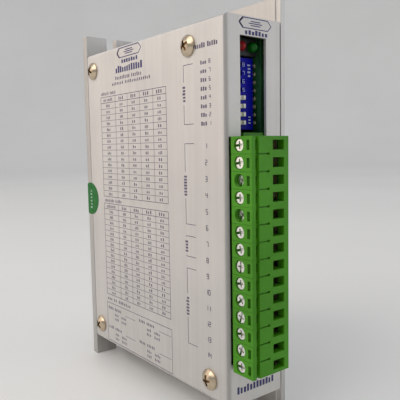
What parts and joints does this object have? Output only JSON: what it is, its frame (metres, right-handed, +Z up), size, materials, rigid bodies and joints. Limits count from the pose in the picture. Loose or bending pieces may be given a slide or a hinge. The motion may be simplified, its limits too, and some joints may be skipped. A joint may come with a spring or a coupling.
{
  "type": "stepper driver module",
  "caption": "Slim two-phase stepper motor driver in an aluminium case, with a pluggable screw terminal strip, slide switches and two status lamps.",
  "frame": {"origin": "bottom centre of the whole module, on the plane through the lower ends of its flanges", "axes": "+Z up along the case, +Y from the narrow terminal front to the thick rear wall, +X from the printed lid to the flat base plate"},
  "size_m": [0.0271, 0.0996, 0.1346],
  "materials": {
    "heat_sink": "brushed anodised",
    "cover": "brushed anodised, printed",
    "screw_metal": "nickel plated, polished",
    "turned_metal": "machined",
    "sticker": "glossy printed label",
    "board": "solder mask on fibreglass",
    "brass": "turned",
    "header_plastic": "moulded",
    "tin": "tinned",
    "switch_blue": "moulded, printed",
    "black_plastic": "moulded",
    "red_lens": "tinted epoxy",
    "green_lens": "tinted epoxy",
    "can_sleeve": "shrink sleeve",
    "ferrite": "sintered",
    "chip_black": "moulded epoxy",
    "pad_rubber": "soft silicone",
    "plug_plastic": "moulded, satin",
    "contact_metal": "tinned brass",
    "clamp_screw_metal": "zinc plated",
    "cage_metal": "nickel plated brass",
    "switch_white": "moulded"
  },
  "bodies": {
    "case": {"base_heat_sink": "heat_sink", "cover": "cover", "cover_screws": "screw_metal", "cover_posts": "turned_metal", "seal_sticker": "sticker", "circuit_board": "board", "board_spacers": "brass", "board_screws": "screw_metal", "terminal_header": "header_plastic", "header_pins": "tin", "switch_case": "switch_blue", "switch_pins": "tin", "lamp_holder": "black_plastic", "red_lamp": "red_lens", "green_lamp": "green_lens", "bulk_capacitors": "can_sleeve", "supply_inductor": "ferrite", "controller_chip": "chip_black", "gate_drivers": "chip_black", "opto_isolators": "chip_black", "power_transistors": "chip_black", "thermal_pad": "pad_rubber"},
    "plug": {"plug_housing": "plug_plastic", "plug_contacts": "contact_metal"},
    "clamp_screw_1": {"clamp_screw_1": "clamp_screw_metal"},
    "clamp_cage_1": {"clamp_cage_1": "cage_metal"},
    "clamp_screw_2": {"clamp_screw_2": "clamp_screw_metal"},
    "clamp_cage_2": {"clamp_cage_2": "cage_metal"},
    "clamp_screw_3": {"clamp_screw_3": "clamp_screw_metal"},
    "clamp_cage_3": {"clamp_cage_3": "cage_metal"},
    "clamp_screw_4": {"clamp_screw_4": "clamp_screw_metal"},
    "clamp_cage_4": {"clamp_cage_4": "cage_metal"},
    "clamp_screw_5": {"clamp_screw_5": "clamp_screw_metal"},
    "clamp_cage_5": {"clamp_cage_5": "cage_metal"},
    "clamp_screw_6": {"clamp_screw_6": "clamp_screw_metal"},
    "clamp_cage_6": {"clamp_cage_6": "cage_metal"},
    "clamp_screw_7": {"clamp_screw_7": "clamp_screw_metal"},
    "clamp_cage_7": {"clamp_cage_7": "cage_metal"},
    "clamp_screw_8": {"clamp_screw_8": "clamp_screw_metal"},
    "clamp_cage_8": {"clamp_cage_8": "cage_metal"},
    "clamp_screw_9": {"clamp_screw_9": "clamp_screw_metal"},
    "clamp_cage_9": {"clamp_cage_9": "cage_metal"},
    "clamp_screw_10": {"clamp_screw_10": "clamp_screw_metal"},
    "clamp_cage_10": {"clamp_cage_10": "cage_metal"},
    "clamp_screw_11": {"clamp_screw_11": "clamp_screw_metal"},
    "clamp_cage_11": {"clamp_cage_11": "cage_metal"},
    "clamp_screw_12": {"clamp_screw_12": "clamp_screw_metal"},
    "clamp_cage_12": {"clamp_cage_12": "cage_metal"},
    "clamp_screw_13": {"clamp_screw_13": "clamp_screw_metal"},
    "clamp_cage_13": {"clamp_cage_13": "cage_metal"},
    "clamp_screw_14": {"clamp_screw_14": "clamp_screw_metal"},
    "clamp_cage_14": {"clamp_cage_14": "cage_metal"},
    "switch_slider_1": {"switch_slider_1": "switch_white"},
    "switch_slider_2": {"switch_slider_2": "switch_white"},
    "switch_slider_3": {"switch_slider_3": "switch_white"},
    "switch_slider_4": {"switch_slider_4": "switch_white"},
    "switch_slider_5": {"switch_slider_5": "switch_white"},
    "switch_slider_6": {"switch_slider_6": "switch_white"},
    "switch_slider_7": {"switch_slider_7": "switch_white"},
    "switch_slider_8": {"switch_slider_8": "switch_white"}
  },
  "joints": [
    {"name": "plug_slide", "type": "slide", "parent": "case", "child": "plug", "axis": [0, -1, 0], "range_m": [0, 0.016]},
    {"name": "clamp_screw_1_turn", "type": "hinge", "parent": "plug", "child": "clamp_screw_1", "pos_m": [-0.00655, -0.0444, 0.08859], "axis": [1, 0, 0], "range_deg": [0, 2161]},
    {"name": "clamp_cage_1_rise", "type": "slide", "parent": "plug", "child": "clamp_cage_1", "axis": [-1, 0, 0], "range_m": [0, 0.003]},
    {"name": "clamp_screw_2_turn", "type": "hinge", "parent": "plug", "child": "clamp_screw_2", "pos_m": [-0.00655, -0.0444, 0.08351], "axis": [1, 0, 0], "range_deg": [0, 2161]},
    {"name": "clamp_cage_2_rise", "type": "slide", "parent": "plug", "child": "clamp_cage_2", "axis": [-1, 0, 0], "range_m": [0, 0.003]},
    {"name": "clamp_screw_3_turn", "type": "hinge", "parent": "plug", "child": "clamp_screw_3", "pos_m": [-0.00655, -0.0444, 0.07843], "axis": [1, 0, 0], "range_deg": [0, 2161]},
    {"name": "clamp_cage_3_rise", "type": "slide", "parent": "plug", "child": "clamp_cage_3", "axis": [-1, 0, 0], "range_m": [0, 0.003]},
    {"name": "clamp_screw_4_turn", "type": "hinge", "parent": "plug", "child": "clamp_screw_4", "pos_m": [-0.00655, -0.0444, 0.07335], "axis": [1, 0, 0], "range_deg": [0, 2161]},
    {"name": "clamp_cage_4_rise", "type": "slide", "parent": "plug", "child": "clamp_cage_4", "axis": [-1, 0, 0], "range_m": [0, 0.003]},
    {"name": "clamp_screw_5_turn", "type": "hinge", "parent": "plug", "child": "clamp_screw_5", "pos_m": [-0.00655, -0.0444, 0.06827], "axis": [1, 0, 0], "range_deg": [0, 2161]},
    {"name": "clamp_cage_5_rise", "type": "slide", "parent": "plug", "child": "clamp_cage_5", "axis": [-1, 0, 0], "range_m": [0, 0.003]},
    {"name": "clamp_screw_6_turn", "type": "hinge", "parent": "plug", "child": "clamp_screw_6", "pos_m": [-0.00655, -0.0444, 0.06319], "axis": [1, 0, 0], "range_deg": [0, 2161]},
    {"name": "clamp_cage_6_rise", "type": "slide", "parent": "plug", "child": "clamp_cage_6", "axis": [-1, 0, 0], "range_m": [0, 0.003]},
    {"name": "clamp_screw_7_turn", "type": "hinge", "parent": "plug", "child": "clamp_screw_7", "pos_m": [-0.00655, -0.0444, 0.05811], "axis": [1, 0, 0], "range_deg": [0, 2161]},
    {"name": "clamp_cage_7_rise", "type": "slide", "parent": "plug", "child": "clamp_cage_7", "axis": [-1, 0, 0], "range_m": [0, 0.003]},
    {"name": "clamp_screw_8_turn", "type": "hinge", "parent": "plug", "child": "clamp_screw_8", "pos_m": [-0.00655, -0.0444, 0.05303], "axis": [1, 0, 0], "range_deg": [0, 2161]},
    {"name": "clamp_cage_8_rise", "type": "slide", "parent": "plug", "child": "clamp_cage_8", "axis": [-1, 0, 0], "range_m": [0, 0.003]},
    {"name": "clamp_screw_9_turn", "type": "hinge", "parent": "plug", "child": "clamp_screw_9", "pos_m": [-0.00655, -0.0444, 0.04795], "axis": [1, 0, 0], "range_deg": [0, 2161]},
    {"name": "clamp_cage_9_rise", "type": "slide", "parent": "plug", "child": "clamp_cage_9", "axis": [-1, 0, 0], "range_m": [0, 0.003]},
    {"name": "clamp_screw_10_turn", "type": "hinge", "parent": "plug", "child": "clamp_screw_10", "pos_m": [-0.00655, -0.0444, 0.04287], "axis": [1, 0, 0], "range_deg": [0, 2161]},
    {"name": "clamp_cage_10_rise", "type": "slide", "parent": "plug", "child": "clamp_cage_10", "axis": [-1, 0, 0], "range_m": [0, 0.003]},
    {"name": "clamp_screw_11_turn", "type": "hinge", "parent": "plug", "child": "clamp_screw_11", "pos_m": [-0.00655, -0.0444, 0.03779], "axis": [1, 0, 0], "range_deg": [0, 2161]},
    {"name": "clamp_cage_11_rise", "type": "slide", "parent": "plug", "child": "clamp_cage_11", "axis": [-1, 0, 0], "range_m": [0, 0.003]},
    {"name": "clamp_screw_12_turn", "type": "hinge", "parent": "plug", "child": "clamp_screw_12", "pos_m": [-0.00655, -0.0444, 0.03271], "axis": [1, 0, 0], "range_deg": [0, 2161]},
    {"name": "clamp_cage_12_rise", "type": "slide", "parent": "plug", "child": "clamp_cage_12", "axis": [-1, 0, 0], "range_m": [0, 0.003]},
    {"name": "clamp_screw_13_turn", "type": "hinge", "parent": "plug", "child": "clamp_screw_13", "pos_m": [-0.00655, -0.0444, 0.02763], "axis": [1, 0, 0], "range_deg": [0, 2161]},
    {"name": "clamp_cage_13_rise", "type": "slide", "parent": "plug", "child": "clamp_cage_13", "axis": [-1, 0, 0], "range_m": [0, 0.003]},
    {"name": "clamp_screw_14_turn", "type": "hinge", "parent": "plug", "child": "clamp_screw_14", "pos_m": [-0.00655, -0.0444, 0.02255], "axis": [1, 0, 0], "range_deg": [0, 2161]},
    {"name": "clamp_cage_14_rise", "type": "slide", "parent": "plug", "child": "clamp_cage_14", "axis": [-1, 0, 0], "range_m": [0, 0.003]},
    {"name": "switch_1_slide", "type": "slide", "parent": "case", "child": "switch_slider_1", "axis": [1, 0, 0], "range_m": [-0.0023, 0]},
    {"name": "switch_2_slide", "type": "slide", "parent": "case", "child": "switch_slider_2", "axis": [1, 0, 0], "range_m": [-0.0023, 0]},
    {"name": "switch_3_slide", "type": "slide", "parent": "case", "child": "switch_slider_3", "axis": [1, 0, 0], "range_m": [-0.0023, 0]},
    {"name": "switch_4_slide", "type": "slide", "parent": "case", "child": "switch_slider_4", "axis": [1, 0, 0], "range_m": [-0.0023, 0]},
    {"name": "switch_5_slide", "type": "slide", "parent": "case", "child": "switch_slider_5", "axis": [1, 0, 0], "range_m": [0, 0.0023]},
    {"name": "switch_6_slide", "type": "slide", "parent": "case", "child": "switch_slider_6", "axis": [1, 0, 0], "range_m": [0, 0.0023]},
    {"name": "switch_7_slide", "type": "slide", "parent": "case", "child": "switch_slider_7", "axis": [1, 0, 0], "range_m": [0, 0.0023]},
    {"name": "switch_8_slide", "type": "slide", "parent": "case", "child": "switch_slider_8", "axis": [1, 0, 0], "range_m": [0, 0.0023]}
  ],
  "couplings": [
    {"joint": "clamp_screw_1_turn", "follows": "clamp_cage_1_rise", "rad_per_m": 12566},
    {"joint": "clamp_screw_2_turn", "follows": "clamp_cage_2_rise", "rad_per_m": 12566},
    {"joint": "clamp_screw_3_turn", "follows": "clamp_cage_3_rise", "rad_per_m": 12566},
    {"joint": "clamp_screw_4_turn", "follows": "clamp_cage_4_rise", "rad_per_m": 12566},
    {"joint": "clamp_screw_5_turn", "follows": "clamp_cage_5_rise", "rad_per_m": 12566},
    {"joint": "clamp_screw_6_turn", "follows": "clamp_cage_6_rise", "rad_per_m": 12566},
    {"joint": "clamp_screw_7_turn", "follows": "clamp_cage_7_rise", "rad_per_m": 12566},
    {"joint": "clamp_screw_8_turn", "follows": "clamp_cage_8_rise", "rad_per_m": 12566},
    {"joint": "clamp_screw_9_turn", "follows": "clamp_cage_9_rise", "rad_per_m": 12566},
    {"joint": "clamp_screw_10_turn", "follows": "clamp_cage_10_rise", "rad_per_m": 12566},
    {"joint": "clamp_screw_11_turn", "follows": "clamp_cage_11_rise", "rad_per_m": 12566},
    {"joint": "clamp_screw_12_turn", "follows": "clamp_cage_12_rise", "rad_per_m": 12566},
    {"joint": "clamp_screw_13_turn", "follows": "clamp_cage_13_rise", "rad_per_m": 12566},
    {"joint": "clamp_screw_14_turn", "follows": "clamp_cage_14_rise", "rad_per_m": 12566}
  ]
}
